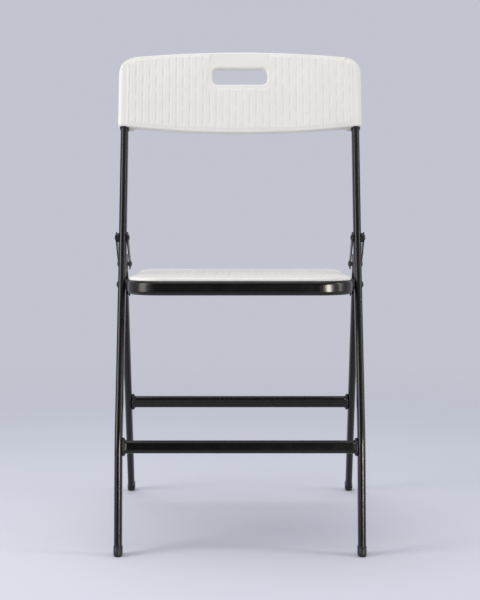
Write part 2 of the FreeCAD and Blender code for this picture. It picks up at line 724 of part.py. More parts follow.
one_side = {
    "front_leg": front_leg(),
    "front_foot_cap": foot_cap(front_leg_points(), X_AXIS),
    "backrest_grommet": grommet(0.0).cut(upright_in_back()),
    "seat_pivot_rivet": seat_pivot_rivet(),
    "seat_pivot_spacer": seat_pivot_spacer(),
    "rear_pivot_bracket": rear_pivot_bracket(),
    "rear_pivot_rivet": rear_pivot_rivet(),
    "seat_frame_plug": seat_frame_plug(),
    "rear_leg": rear_leg(),
    "rear_foot_cap": foot_cap(rear_leg_points(), rear_leg_across()),
    "rear_leg_plug": rear_leg_plug(),
    "outer_link": link_plate(OUTER_LINK_X, (front_link_pivot, rear_link_pivot)),
    "inner_link": link_plate(INNER_LINK_X, (front_link_pivot, rear_link_pivot)),
    "link_front_rivet": link_front_rivet(),
    "link_rear_rivet": link_rear_rivet(),
    "link_spacer": link_spacer(),
}
for name, shape in one_side.items():
    nodes["left_" + name], nodes["right_" + name] = both_sides(shape)

for name, shape in nodes.items():
    shape.exportStep("parts/" + name + ".step")

whole = Part.makeCompound(list(nodes.values())).BoundBox
print("nodes", len(nodes))
print("box", [round(v, 2) for v in (whole.XMin, whole.XMax, whole.YMin, whole.YMax, whole.ZMin, whole.ZMax)])
for name, value in (
    ("seat pivot", seat_pivot), ("rear pivot", REAR_PIVOT), ("front link pivot", front_link_pivot),
    ("rear link pivot", rear_link_pivot), ("folds", (SEAT_FOLD, REAR_FOLD - SEAT_FOLD, LINK_FOLD)),
):
    print(name, [round(v, 5) for v in value])
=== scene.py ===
import json
import math

import bmesh
import bpy
from mathutils import Matrix, Vector


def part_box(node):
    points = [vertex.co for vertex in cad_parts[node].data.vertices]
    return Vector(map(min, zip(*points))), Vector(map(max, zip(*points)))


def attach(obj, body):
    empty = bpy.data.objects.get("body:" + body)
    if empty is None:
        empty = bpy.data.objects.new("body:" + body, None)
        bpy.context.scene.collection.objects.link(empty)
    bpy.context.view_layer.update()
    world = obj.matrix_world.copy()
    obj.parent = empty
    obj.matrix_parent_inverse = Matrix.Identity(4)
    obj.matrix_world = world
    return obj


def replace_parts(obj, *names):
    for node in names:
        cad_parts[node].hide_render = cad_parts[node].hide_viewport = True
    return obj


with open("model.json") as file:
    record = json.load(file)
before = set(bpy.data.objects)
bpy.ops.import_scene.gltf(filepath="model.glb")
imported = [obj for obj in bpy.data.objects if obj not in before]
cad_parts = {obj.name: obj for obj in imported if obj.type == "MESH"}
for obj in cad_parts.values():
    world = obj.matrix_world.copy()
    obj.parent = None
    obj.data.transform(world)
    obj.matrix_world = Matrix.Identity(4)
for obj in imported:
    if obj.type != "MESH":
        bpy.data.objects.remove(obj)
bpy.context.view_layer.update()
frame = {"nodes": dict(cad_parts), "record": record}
scene = bpy.context.scene


# ---------------------------------------------------------------- studio
# A pale lilac-grey paper floor that runs out into a backdrop of the same colour, and four soft
# lights, of which the front one shows only as a highlight in glossy faces. A dark flag behind the
# camera keeps the front of the black tubes dark.
BACKDROP = (0.539, 0.552, 0.631)
FLOOR_PAPER = (0.62, 0.632, 0.685)
FLOOR_RADIUS = 30.0
CLEAR_FLOOR_RADIUS = 0.2
FADED_FLOOR_RADIUS = 2.6
FLAG_PLACE = (0, -3.6, 1.3)
FLAG_HALF_SIZE = (2.0, 1.3)
WARM = (1.0, 0.985, 0.95)
CHAIR_MIDDLE = (0, -0.1, 0.45)
FRONT_LIGHT_SPREAD = 50
SENSOR_WIDTH = 36.0
FOCAL_LENGTH = 84.42
CAMERA_HEIGHT = 0.601
CAMERA_DISTANCE = 2.307
CAMERA_TILT = 4.3


def linked(thing):
    """Puts an object into the scene."""
    scene.collection.objects.link(thing)
    return thing


def mesh_object(name, build):
    """Object made from a bmesh that build fills in."""
    bm = bmesh.new()
    build(bm)
    mesh = bpy.data.meshes.new(name)
    bm.to_mesh(mesh)
    bm.free()
    return linked(bpy.data.objects.new(name, mesh))


def soft_light(name, place, size, radiance, aim=CHAIR_MIDDLE):
    """Warm rectangular soft light; its power follows from how bright its face looks."""
    data = bpy.data.lights.new(name, "AREA")
    data.shape = "RECTANGLE"
    data.size, data.size_y = size
    data.energy = radiance * math.pi * size[0] * size[1]
    data.color = WARM
    light = linked(bpy.data.objects.new(name, data))
    light.location = place
    light.rotation_euler = (Vector(aim) - Vector(place)).to_track_quat("-Z", "Y").to_euler()
    return light


def paper_floor():
    """Matte paper near the chair, which fades into the backdrop's own glow further out."""
    paper = bpy.data.materials.new("floor_paper")
    paper.use_nodes = True
    nodes, links = paper.node_tree.nodes, paper.node_tree.links
    matte = nodes["Principled BSDF"]
    matte.inputs["Base Color"].default_value = (*FLOOR_PAPER, 1)
    matte.inputs["Roughness"].default_value = 0.9
    matte.inputs["Specular IOR Level"].default_value = 0.2
    glow = nodes.new("ShaderNodeEmission")
    glow.inputs["Color"].default_value = (*BACKDROP, 1)
    place = nodes.new("ShaderNodeTexCoord")
    distance = nodes.new("ShaderNodeVectorMath")
    distance.operation = "LENGTH"
    fade = nodes.new("ShaderNodeMapRange")
    fade.interpolation_type = "SMOOTHERSTEP"
    fade.inputs["From Min"].default_value = CLEAR_FLOOR_RADIUS
    fade.inputs["From Max"].default_value = FADED_FLOOR_RADIUS
    mix = nodes.new("ShaderNodeMixShader")
    links.new(place.outputs["Object"], distance.inputs[0])
    links.new(distance.outputs["Value"], fade.inputs["Value"])
    links.new(fade.outputs["Result"], mix.inputs["Fac"])
    links.new(matte.outputs["BSDF"], mix.inputs[1])
    links.new(glow.outputs["Emission"], mix.inputs[2])
    links.new(mix.outputs["Shader"], nodes["Material Output"].inputs["Surface"])
    return paper


floor = mesh_object(
    "floor", lambda bm: bmesh.ops.create_circle(bm, cap_ends=True, segments=96, radius=FLOOR_RADIUS)
)
floor.data.materials.append(paper_floor())
flag = mesh_object(
    "dark_flag", lambda bm: bmesh.ops.create_grid(bm, x_segments=1, y_segments=1, size=1.0)
)
upright = Matrix.Rotation(math.pi / 2, 4, "X")
flag.data.transform(Matrix.Translation(FLAG_PLACE) @ upright @ Matrix.Diagonal((*FLAG_HALF_SIZE, 1, 1)))
black_cloth = bpy.data.materials.new("black_cloth")
black_cloth.use_nodes = True
cloth_shader = black_cloth.node_tree.nodes["Principled BSDF"]
cloth_shader.inputs["Base Color"].default_value = (0.004, 0.004, 0.004, 1)
flag.data.materials.append(black_cloth)
flag.visible_camera = False
flag.visible_diffuse = False
flag.visible_shadow = False

soft_light("top_light", place=(-0.2, -0.2, 2.7), size=(2.2, 1.7), radiance=2.1, aim=(0, -0.05, 0.3))
soft_light("right_light", place=(1.85, -0.60, 0.95), size=(0.40, 1.5), radiance=5.5)
soft_light("left_light", place=(-1.75, -1.00, 0.95), size=(0.9, 1.5), radiance=5.6)
front_light = soft_light("front_light", place=(1.30, -2.00, 0.42), size=(0.60, 0.46), radiance=3.6)
front_light.data.spread = math.radians(FRONT_LIGHT_SPREAD)
front_light.visible_diffuse = False

studio_air = bpy.data.worlds.new("studio_air")
studio_air.use_nodes = True
studio_air.node_tree.nodes["Background"].inputs["Color"].default_value = (*BACKDROP, 1)
scene.world = studio_air
scene.view_settings.view_transform = "Standard"

feet = {mount["name"]: Vector(mount["pos_m"]) for mount in frame["record"]["mounts"]}
lens = bpy.data.cameras.new("camera")
lens.sensor_width = SENSOR_WIDTH
lens.lens = FOCAL_LENGTH
camera = linked(bpy.data.objects.new("camera", lens))
camera.location = (0, feet["left_front_foot"].y - CAMERA_DISTANCE, CAMERA_HEIGHT)
camera.rotation_euler = (math.radians(90 - CAMERA_TILT), 0, 0)
scene.camera = camera


# ---------------------------------------------------------------- steel tubes and bars
# Bent flat-oval steel tubes, welded cross rails and round bars under the seat. All are shot-blasted
# and powder-coated semi-gloss black, which leaves a fine orange-peel skin.
TUBE_NODES = ("front_cross_rail", "rear_cross_rail", "seat_frame", "seat_middle_bar", "seat_rear_bar")
SIDES = {"left": 1, "right": -1}
COLOUR_SPAN = (0.35, 0.65)
VALUE_SPAN = (0.3, 0.7)


def finish(name, **constants):
    """Principled material whose constants sit on the shader's own sockets."""
    material = bpy.data.materials.new(name)
    material.use_nodes = True
    shader = material.node_tree.nodes["Principled BSDF"]
    for socket, value in constants.items():
        shader.inputs[socket.replace("_", " ")].default_value = value
    return material


def noise_texture(material, scale):
    """Noise in the piece's own coordinates, scale in cycles per metre."""
    nodes, links = material.node_tree.nodes, material.node_tree.links
    place = nodes.new("ShaderNodeTexCoord")
    noise = nodes.new("ShaderNodeTexNoise")
    noise.inputs["Scale"].default_value = scale
    links.new(place.outputs["Object"], noise.inputs["Vector"])
    return noise.outputs["Fac"]


def vary(material, socket, scale, low, high):
    """Lets a shader value or colour wander between two values over the surface."""
    nodes, links = material.node_tree.nodes, material.node_tree.links
    fac = noise_texture(material, scale)
    shader = nodes["Principled BSDF"]
    if isinstance(low, tuple):
        blend = nodes.new("ShaderNodeValToRGB")
        for stop, position, colour in zip(blend.color_ramp.elements, COLOUR_SPAN, (low, high)):
            stop.position = position
            stop.color = (*colour, 1)
        links.new(fac, blend.inputs["Fac"])
        links.new(blend.outputs["Color"], shader.inputs[socket])
        return
    spread = nodes.new("ShaderNodeMapRange")
    for label, value in zip(("From Min", "From Max", "To Min", "To Max"), (*VALUE_SPAN, low, high)):
        spread.inputs[label].default_value = value
    links.new(fac, spread.inputs["Value"])
    links.new(spread.outputs["Result"], shader.inputs[socket])


def grain(material, layers):
    """Bumps in the skin: each layer is a noise scale, a depth in metres and a strength."""
    nodes, links = material.node_tree.nodes, material.node_tree.links
    normal = None
    for scale, depth, strength in layers:
        bump = nodes.new("ShaderNodeBump")
        bump.inputs["Distance"].default_value = depth
        bump.inputs["Strength"].default_value = strength
        links.new(noise_texture(material, scale), bump.inputs["Height"])
        if normal:
            links.new(normal, bump.inputs["Normal"])
        normal = bump.outputs["Normal"]
    links.new(normal, nodes["Principled BSDF"].inputs["Normal"])


powder_coat = finish("black_powder_coat", Specular_IOR_Level=0.42, Specular_Tint=(1.0, 0.95, 0.89, 1.0))
vary(powder_coat, "Base Color", 55.0, (0.0012, 0.0012, 0.0013), (0.0020, 0.0020, 0.0021))
vary(powder_coat, "Roughness", 40.0, 0.24, 0.28)
grain(powder_coat, [(300.0, 0.00004, 0.03)])


def coat(node, material):
    """Gives a CAD node this finish in every material slot."""
    for slot in frame["nodes"][node].material_slots:
        slot.material = material


for node in TUBE_NODES:
    coat(node, powder_coat)
for side in SIDES:
    coat(side + "_front_leg", powder_coat)
    coat(side + "_rear_leg", powder_coat)


# ---------------------------------------------------------------- weld beads
# Each cross rail is welded all round to the inner face of its legs. The bead is a row of small
# overlapping puddles of steel round the end of the oval rail, and the powder coat covers it.
MM = 0.001
FOOT_TO_BEND = Vector((0, 26.0, 190.0)) * MM
REAR_PIVOT_X = 206.8 * MM
joints = {joint["name"]: Vector(joint["pos_m"]) for joint in frame["record"]["behaviour"]["joints"]}
left_rear_pivot = joints["rear_leg_fold"] + Vector((REAR_PIVOT_X, 0, 0))
leg_direction = {
    "front": FOOT_TO_BEND.normalized(),
    "rear": (left_rear_pivot - feet["left_rear_foot"]).normalized(),
}
PUDDLE_PITCH = 2.3 * MM
PUDDLE_SIZE = 2.9 * MM
PUDDLE_STRETCH = ((0.82, 0.80, 0.80), (1.12, 1.18, 1.16))
PUDDLE_TILT = 0.5
BEAD_INSET = 1.6 * MM
BEAD_GROWTH = 3.4 * MM
FIRST_BEAD_SEED = 3
OVAL_STEPS = 12
WELDED_RAILS = {
    "front_cross_rail": ("front_frame", leg_direction["front"], 12.4 * MM, 21.8 * MM),
    "rear_cross_rail": ("rear_frame", leg_direction["rear"], 13.4 * MM, 25.4 * MM),
}


def geometry_tree(name, inputs):
    """Geometry Nodes tree with these named inputs; gives the tree and its input and output nodes."""
    tree = bpy.data.node_groups.new(name, "GeometryNodeTree")
    tree.interface.new_socket("Geometry", in_out="INPUT", socket_type="NodeSocketGeometry")
    for label, kind in inputs.items():
        tree.interface.new_socket(label, in_out="INPUT", socket_type="NodeSocket" + kind)
    tree.interface.new_socket("Geometry", in_out="OUTPUT", socket_type="NodeSocketGeometry")
    return tree, tree.nodes.new("NodeGroupInput"), tree.nodes.new("NodeGroupOutput")


def node_in(tree, kind, settings=None, **inputs):
    """New node with its settings; an input is a value or another node's output socket.

    An input goes by its label, or by its place as i0, i1 and so on.
    """
    node = tree.nodes.new(kind)
    for label, value in (settings or {}).items():
        setattr(node, label, value)
    for label, value in inputs.items():
        by_place = label[0] == "i" and label[1:].isdigit()
        socket = node.inputs[int(label[1:]) if by_place else label.replace("_", " ")]
        if isinstance(value, bpy.types.NodeSocket):
            tree.links.new(value, socket)
        else:
            socket.default_value = value
    return node


def apply_modifiers(piece):
    """Keeps what the piece's modifiers make of it as its plain mesh."""
    evaluated = piece.evaluated_get(bpy.context.evaluated_depsgraph_get())
    applied = bpy.data.meshes.new_from_object(evaluated)
    piece.modifiers.clear()
    piece.data = applied


def grow(piece, tree, **values):
    """Runs the tree on the piece's mesh with these inputs and keeps the result as a plain mesh."""
    modifier = piece.modifiers.new("grow", "NODES")
    modifier.node_group = tree
    for item in tree.interface.items_tree:
        if item.in_out == "INPUT" and item.name in values:
            modifier[item.identifier] = values[item.name]
    apply_modifiers(piece)


def bead_tree():
    """Overlapping puddles along the piece's closed edge loops."""
    tree, given, result = geometry_tree(
        "weld_bead", {"Pitch": "Float", "Size": "Float", "Seed": "Int", "Finish": "Material"}
    )
    path = node_in(tree, "GeometryNodeMeshToCurve", Mesh=given.outputs["Geometry"])
    spaced = node_in(
        tree, "GeometryNodeResampleCurve", {"mode": "LENGTH"},
        Curve=path.outputs["Curve"], Length=given.outputs["Pitch"],
    )
    puddle = node_in(tree, "GeometryNodeMeshIcoSphere", Radius=given.outputs["Size"], Subdivisions=2)
    uneven = node_in(
        tree, "FunctionNodeRandomValue", {"data_type": "FLOAT_VECTOR"},
        Min=PUDDLE_STRETCH[0], Max=PUDDLE_STRETCH[1], Seed=given.outputs["Seed"],
    )
    tilted = node_in(
        tree, "FunctionNodeRandomValue", {"data_type": "FLOAT_VECTOR"},
        Min=[-PUDDLE_TILT] * 3, Max=[PUDDLE_TILT] * 3, Seed=given.outputs["Seed"],
    )
    puddles = node_in(
        tree, "GeometryNodeInstanceOnPoints", Points=spaced.outputs["Curve"],
        Instance=puddle.outputs["Mesh"], Rotation=tilted.outputs["Value"], Scale=uneven.outputs["Value"],
    )
    solid = node_in(tree, "GeometryNodeRealizeInstances", Geometry=puddles.outputs["Instances"])
    smooth = node_in(tree, "GeometryNodeSetShadeSmooth", Geometry=solid.outputs["Geometry"])
    coated = node_in(
        tree, "GeometryNodeSetMaterial",
        Geometry=smooth.outputs["Geometry"], Material=given.outputs["Finish"],
    )
    tree.links.new(coated.outputs["Geometry"], result.inputs["Geometry"])
    return tree


def stadium(width, depth):
    """Points of a flat-oval outline, round its two long ends: (across, along) pairs."""
    radius = width / 2
    half = depth / 2 - radius
    points = []
    for end, start in ((1, 0.0), (-1, math.pi)):
        for k in range(OVAL_STEPS + 1):
            angle = start + math.pi * k / OVAL_STEPS
            points.append((radius * math.cos(angle), end * half + radius * math.sin(angle)))
    return points


def bead_loops(bm, rail, along_leg, width, height):
    """Closed loop of edges round each end of a cross rail, just clear of its flat oval."""
    low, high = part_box(rail)
    middle = (low + high) / 2
    up = Vector((0, along_leg.y, along_leg.z)).normalized()
    flat = up.cross(Vector((1, 0, 0)))
    for end in (low.x + BEAD_INSET, high.x - BEAD_INSET):
        loop = []
        for across, along in stadium(width + BEAD_GROWTH, height + BEAD_GROWTH):
            point = Vector((end, middle.y, middle.z)) + flat * across + up * along
            loop.append(bm.verts.new(point))
        for k, vert in enumerate(loop):
            bm.edges.new((vert, loop[(k + 1) % len(loop)]))


weld_bead = bead_tree()
for seed, (rail, (body, *section)) in enumerate(WELDED_RAILS.items(), FIRST_BEAD_SEED):
    beads = mesh_object(rail + "_weld_beads", lambda bm: bead_loops(bm, rail, *section))
    grow(beads, weld_bead, Pitch=PUDDLE_PITCH, Size=PUDDLE_SIZE, Seed=seed, Finish=powder_coat)
    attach(beads, body)


# ---------------------------------------------------------------- backrest
# One hollow blow moulding in white polyethylene, curved to the sitter's back, with a rounded hand
# slot near its top. Its front is moulded with upright woven strands inside a smooth border.
BACK_LEAN = 15.5
BACK_HALF_WIDTH = 214.6 * MM
# TOP, BOTTOM and FRONT are values at the panel's middle and at its ends.
BACK_TOP = (73.9 * MM, 55.2 * MM)
BACK_BOTTOM = (-75.5 * MM, -68.2 * MM)
BACK_FRONT = (1.5 * MM, -16.5 * MM)
BACK_MIDDLE_REAR = 15.5 * MM
BACK_FIELD_HALF_WIDTH = 182.0 * MM
BACK_FIELD_END_REAR = 4.55 * MM
SOCKET_REAR = 16.5 * MM
SOCKET_STEP = 8.0 * MM
BACK_CORNER = 28.0 * MM
BACK_FOOT_CORNER = 5.0 * MM
BACK_END_ROUND = 9.0 * MM
BACK_EDGE_ROUND = 2.6 * MM
BACK_SIDE_BORDER = 15.0 * MM
BACK_BORDER = 5.0 * MM
SLOT_HALF = (48.5 * MM, 15.0 * MM)
SLOT_CORNER = 9.0 * MM
SLOT_RISE = 28.6 * MM
SLOT_ROUND = 3.0 * MM
SLOT_BORDER = 7.0 * MM
SLOT_FADE = 1.5 * MM
RING_CLEARANCE = 1.0 * MM
PLAIN_BAND = 52.0 * MM
FIELD_FADE = 2.0 * MM
STRAND_PITCH = 5.9 * MM
STRAND_LENGTH = 33.0 * MM
STRAND_RISE = 1.0 * MM
STRAND_CUTS = 5
STRAND_EDGE = 4.0
PAIR_EDGE = 6.0
STRAND_GROOVE = 0.2
DASH_GAP = (0.10, 0.19)
ROW_STEP = 2.0 * MM
EDGE_STEPS = [0.0, 0.3 * MM, 0.8 * MM, 1.5 * MM, 2.4 * MM, 3.6 * MM, 5.2 * MM, 7.0 * MM]


def bowed(x, middle, end, half_width):
    """Circular bow through middle at x = 0 and end at the half width."""
    rise = end - middle
    if abs(rise) < 1e-9:
        return middle
    radius = (half_width ** 2 + rise ** 2) / (2 * abs(rise))
    return middle + math.copysign(radius - math.sqrt(radius ** 2 - x ** 2), rise)


def corner_loss(x, half_width, radius):
    """How much a rounded corner takes off the height of the outline at x."""
    into = abs(x) - (half_width - radius)
    return 0.0 if into <= 0 else radius - math.sqrt(max(radius ** 2 - into ** 2, 0.0))


def edge_drop(distance, radius):
    """How far a rounded edge falls back at a distance from the outline."""
    return 0.0 if distance >= radius else radius - math.sqrt(radius ** 2 - (radius - distance) ** 2)


def fade_in(value, width):
    """0 below zero, 1 above width, and smooth between."""
    t = min(max(value / width, 0.0), 1.0)
    return t * t * (3 - 2 * t)


def mirrored_steps(half_width, step):
    """Positions across the piece: even steps from the middle, closer together at both ends."""
    near_end = [half_width - s for s in EDGE_STEPS]
    count = int(min(near_end) / step)
    positive = [k * step for k in range(1, count + 1)] + sorted(near_end)
    return [-x for x in reversed(positive)] + [0.0] + positive


def row_shares(length, step):
    """Shares 0 to 1 across a length, closer together at both ends."""
    inner = length - 2 * EDGE_STEPS[-1]
    count = round(inner / step)
    rows = EDGE_STEPS + [EDGE_STEPS[-1] + inner * k / count for k in range(1, count)]
    return [r / length for r in rows] + [1 - e / length for e in reversed(EDGE_STEPS)]


def moulding(bm, flat_points, faces, front, rear, field):
    """Closed skin from a flat mesh: a front and a rear sheet, joined along every open edge."""
    layer = bm.verts.layers.float.new("field")
    sheets = []
    for height in (front, rear):
        sheets.append([bm.verts.new((a, height(a, b), b)) for a, b in flat_points])
    for vert, (a, b) in zip(sheets[0], flat_points):
        vert[layer] = field(a, b)
    uses = {}
    for face in faces:
        bm.faces.new([sheets[0][k] for k in face])
        bm.faces.new([sheets[1][k] for k in reversed(face)])
        for pair in zip(face, face[1:] + face[:1]):
            uses[pair] = True
    for a, b in uses:
        if (b, a) not in uses:
            bm.faces.new([sheets[0][b], sheets[0][a], sheets[1][a], sheets[1][b]])
    for face in bm.faces:
        face.smooth = True


def slot_distance(a, b):
    """Distance from the hand slot's outline, and the outline's nearest point."""
    b -= SLOT_RISE
    core = [h - SLOT_CORNER for h in SLOT_HALF]
    base = (min(max(a, -core[0]), core[0]), min(max(b, -core[1]), core[1]))
    out = (a - base[0], b - base[1])
    away = math.hypot(*out)
    if away < 1e-9:
        return -SLOT_CORNER, (a, b)
    scale = SLOT_CORNER / away
    return away - SLOT_CORNER, (base[0] + out[0] * scale, base[1] + out[1] * scale + SLOT_RISE)


def back_outline(a):
    low = bowed(a, *BACK_BOTTOM, BACK_HALF_WIDTH) + corner_loss(a, BACK_HALF_WIDTH, BACK_FOOT_CORNER)
    high = bowed(a, *BACK_TOP, BACK_HALF_WIDTH) - corner_loss(a, BACK_HALF_WIDTH, BACK_CORNER)
    return low, high


def back_edge_distance(a, b):
    """Distance from the panel's outline, measured square to it in the top corners."""
    corner = (BACK_HALF_WIDTH - BACK_CORNER, BACK_TOP[1] - BACK_CORNER)
    if abs(a) > corner[0] and b > corner[1]:
        return max(BACK_CORNER - math.hypot(abs(a) - corner[0], b - corner[1]), 0.0)
    low, high = back_outline(a)
    return max(min(BACK_HALF_WIDTH - abs(a), high - b, b - low), 0.0)


def back_rounding(a, b):
    ends = edge_drop(BACK_HALF_WIDTH - abs(a), BACK_END_ROUND)
    rim = edge_drop(back_edge_distance(a, b), BACK_EDGE_ROUND)
    return ends + rim + edge_drop(max(slot_distance(a, b)[0], 0.0), SLOT_ROUND)


def back_front(a, b):
    return bowed(a, *BACK_FRONT, BACK_HALF_WIDTH) + back_rounding(a, b)


def back_rear(a, b):
    """Rear face: bowed behind the woven field, stepped out to the blocks that hold the uprights."""
    end = BACK_FIELD_HALF_WIDTH
    thin = bowed(min(abs(a), end), BACK_MIDDLE_REAR, BACK_FIELD_END_REAR, end)
    return thin + (SOCKET_REAR - thin) * fade_in(abs(a) - end, SOCKET_STEP) - back_rounding(a, b)


def back_field(a, b):
    """1 where the front is woven; 0 on the borders, round the slot and on the band above it."""
    woven = fade_in(BACK_HALF_WIDTH - abs(a) - BACK_SIDE_BORDER, FIELD_FADE)
    woven *= fade_in(back_edge_distance(a, b) - BACK_BORDER, FIELD_FADE)
    woven *= fade_in(slot_distance(a, b)[0] - SLOT_BORDER - SLOT_FADE, SLOT_FADE)
    if b > SLOT_RISE + SLOT_HALF[1]:
        woven *= fade_in(abs(a) - PLAIN_BAND, SLOT_FADE)
    return woven


def build_back(bm):
    """Grid over the outline, with rings round the slot in place of the cells that it cuts."""
    columns = mirrored_steps(BACK_HALF_WIDTH, STRAND_PITCH / STRAND_CUTS)
    shares = row_shares(BACK_TOP[0] - BACK_BOTTOM[0], ROW_STEP)
    points = []
    for a in columns:
        low, high = back_outline(a)
        points += [(a, low + (high - low) * s) for s in shares]
    rows = len(shares)
    margin = EDGE_STEPS[-1] + ROW_STEP + RING_CLEARANCE
    reach = (SLOT_HALF[0] + margin, SLOT_HALF[1] + margin)
    first = min(i for i, a in enumerate(columns) if a > -reach[0])
    last = len(columns) - 1 - first
    middle = len(columns) // 2
    heights = [points[middle * rows + j][1] - SLOT_RISE for j in range(rows)]
    bottom = min(j for j, h in enumerate(heights) if h > -reach[1])
    top = max(j for j, h in enumerate(heights) if h < reach[1])
    faces = []
    for i in range(len(columns) - 1):
        for j in range(rows - 1):
            if not (first <= i < last and bottom <= j < top):
                k = i * rows + j
                faces.append([k, k + rows, k + rows + 1, k + 1])
    frame_loop = [i * rows + bottom for i in range(first, last)]
    frame_loop += [last * rows + j for j in range(bottom, top)]
    frame_loop += [i * rows + top for i in range(last, first, -1)]
    frame_loop += [first * rows + j for j in range(top, bottom, -1)]
    outer = frame_loop
    for step in reversed(EDGE_STEPS):
        inner = []
        for k in frame_loop:
            distance, foot = slot_distance(*points[k])
            share = step / distance
            inner.append(len(points))
            points.append(tuple(f + (p - f) * share for f, p in zip(foot, points[k])))
        for n in range(len(outer)):
            m = (n + 1) % len(outer)
            faces.append([inner[m], inner[n], outer[n], outer[m]])
        outer = inner
    moulding(bm, points, faces, back_front, back_rear, back_field)


def math_in(tree, operation, *terms):
    """Output of a new math node that does this to the terms."""
    labels = {"i%d" % place: term for place, term in enumerate(terms)}
    return node_in(tree, "ShaderNodeMath", {"operation": operation}, **labels).outputs["Value"]


def strand_tree():
    """Raises pairs of upright strands, parted by staggered grooves, where the field says so."""
    tree, given, result = geometry_tree("woven_strands", {
        "Pitch": "Float", "Length": "Float", "Rise": "Float", "Outward": "Vector", "Along": "Vector",
        "Finish": "Material",
    })

    def value_of(operation, *terms):
        return math_in(tree, operation, *terms)

    place = node_in(tree, "GeometryNodeInputPosition").outputs["Position"]
    across = node_in(tree, "ShaderNodeSeparateXYZ", Vector=place).outputs["X"]
    along = node_in(
        tree, "ShaderNodeVectorMath", {"operation": "DOT_PRODUCT"}, i0=place, i1=given.outputs["Along"]
    ).outputs["Value"]
    strand = value_of("DIVIDE", across, given.outputs["Pitch"])
    pair = value_of("DIVIDE", value_of("ADD", strand, 1.0), 2.0)
    pair_number = value_of("FLOOR", value_of("ADD", pair, 0.5))
    shift = value_of("MULTIPLY", value_of("FLOORED_MODULO", pair_number, 2.0), 0.5)

    def edge_of(position, sharpness):
        """0 in the middle of each strand or pair, 1 at its edges."""
        off_middle = value_of("ABSOLUTE", value_of("SUBTRACT", value_of("FRACT", position), 0.5))
        return value_of("POWER", value_of("MULTIPLY", off_middle, 2.0), sharpness)

    turn = value_of("FRACT", value_of("ADD", value_of("DIVIDE", along, given.outputs["Length"]), shift))
    to_end = value_of("MINIMUM", turn, value_of("SUBTRACT", 1.0, turn))
    dash = node_in(
        tree, "ShaderNodeMapRange", {"interpolation_type": "SMOOTHSTEP"},
        Value=to_end, From_Min=DASH_GAP[0], From_Max=DASH_GAP[1],
    ).outputs["Result"]
    pair_groove = value_of("MULTIPLY", edge_of(pair, PAIR_EDGE), dash)
    strand_groove = value_of("MULTIPLY", edge_of(strand, STRAND_EDGE), STRAND_GROOVE)
    crown = value_of("SUBTRACT", 1.0, value_of("MAXIMUM", pair_groove, strand_groove))
    field = node_in(
        tree, "GeometryNodeInputNamedAttribute", {"data_type": "FLOAT"}, Name="field"
    ).outputs["Attribute"]
    height = value_of("MULTIPLY", crown, value_of("MULTIPLY", field, given.outputs["Rise"]))
    offset = node_in(
        tree, "ShaderNodeVectorMath", {"operation": "SCALE"}, i0=given.outputs["Outward"], Scale=height
    )
    raised = node_in(
        tree, "GeometryNodeSetPosition",
        Geometry=given.outputs["Geometry"], Offset=offset.outputs["Vector"],
    )
    whole = node_in(tree, "GeometryNodeRealizeInstances", Geometry=raised.outputs["Geometry"])
    coated = node_in(
        tree, "GeometryNodeSetMaterial",
        Geometry=whole.outputs["Geometry"], Material=given.outputs["Finish"],
    )
    tree.links.new(coated.outputs["Geometry"], result.inputs["Geometry"])
    return tree


def settle(piece, node):
    """Moves a piece's mesh so that its box and the CAD node's box share a middle."""
    low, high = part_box(node)
    corners = [v.co for v in piece.data.vertices]
    middle = Vector([(min(c[k] for c in corners) + max(c[k] for c in corners)) / 2 for k in range(3)])
    piece.data.transform(Matrix.Translation((low + high) / 2 - middle))


polyethylene = finish("white_polyethylene", Specular_IOR_Level=0.42)
vary(polyethylene, "Base Color", 14.0, (0.722, 0.708, 0.648), (0.742, 0.728, 0.668))
vary(polyethylene, "Roughness", 60.0, 0.42, 0.52)
grain(polyethylene, [(650.0, 0.00015, 0.12), (2200.0, 0.00006, 0.15)])

woven_strands = strand_tree()
backrest = mesh_object("backrest_moulding", build_back)
grow(
    backrest, woven_strands, Pitch=STRAND_PITCH, Length=STRAND_LENGTH, Rise=STRAND_RISE,
    Outward=(0, -1, 0), Along=(0, 0, 1), Finish=polyethylene,
)
backrest.data.transform(Matrix.Rotation(math.radians(-BACK_LEAN), 4, "X"))
settle(backrest, "backrest_panel")
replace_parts(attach(backrest, "front_frame"), "backrest_panel")


# ---------------------------------------------------------------- seat panel
# The seat is a second hollow moulding in the same plastic. Its rim lies on the seat frame and its
# pan hangs between the arms. The top is woven like the backrest, with a smooth rolled edge.
SEAT_TIP = 0.75
SEAT_HALF_WIDTH = 185.0 * MM
SEAT_DEPTH = 379.0 * MM
SEAT_CORNERS = (55.0 * MM, 34.0 * MM)
SEAT_EDGE_ROUND = 3.2 * MM
SEAT_UNDER_ROUND = 1.4 * MM
SEAT_RIM = 5.2 * MM
SEAT_DISH = 1.2 * MM
DISH_START = 12.0 * MM
DISH_RUN = 130.0 * MM
PAN_INSET = 18.0 * MM
PAN_DEPTH = 10.0 * MM
PAN_DRAFT = 4.0 * MM
SEAT_BORDER = 9.0 * MM
ROWS_PER_STRAND = 9


def seat_outline(a):
    front = corner_loss(a, SEAT_HALF_WIDTH, SEAT_CORNERS[0])
    return front, SEAT_DEPTH - corner_loss(a, SEAT_HALF_WIDTH, SEAT_CORNERS[1])


def seat_edge_distance(a, b):
    """Distance from the seat's outline, measured square to it in the corners."""
    for radius, back in zip(SEAT_CORNERS, (b, SEAT_DEPTH - b)):
        if abs(a) > SEAT_HALF_WIDTH - radius and back < radius:
            return max(radius - math.hypot(abs(a) - SEAT_HALF_WIDTH + radius, radius - back), 0.0)
    front, rear = seat_outline(a)
    return max(min(SEAT_HALF_WIDTH - abs(a), rear - b, b - front), 0.0)


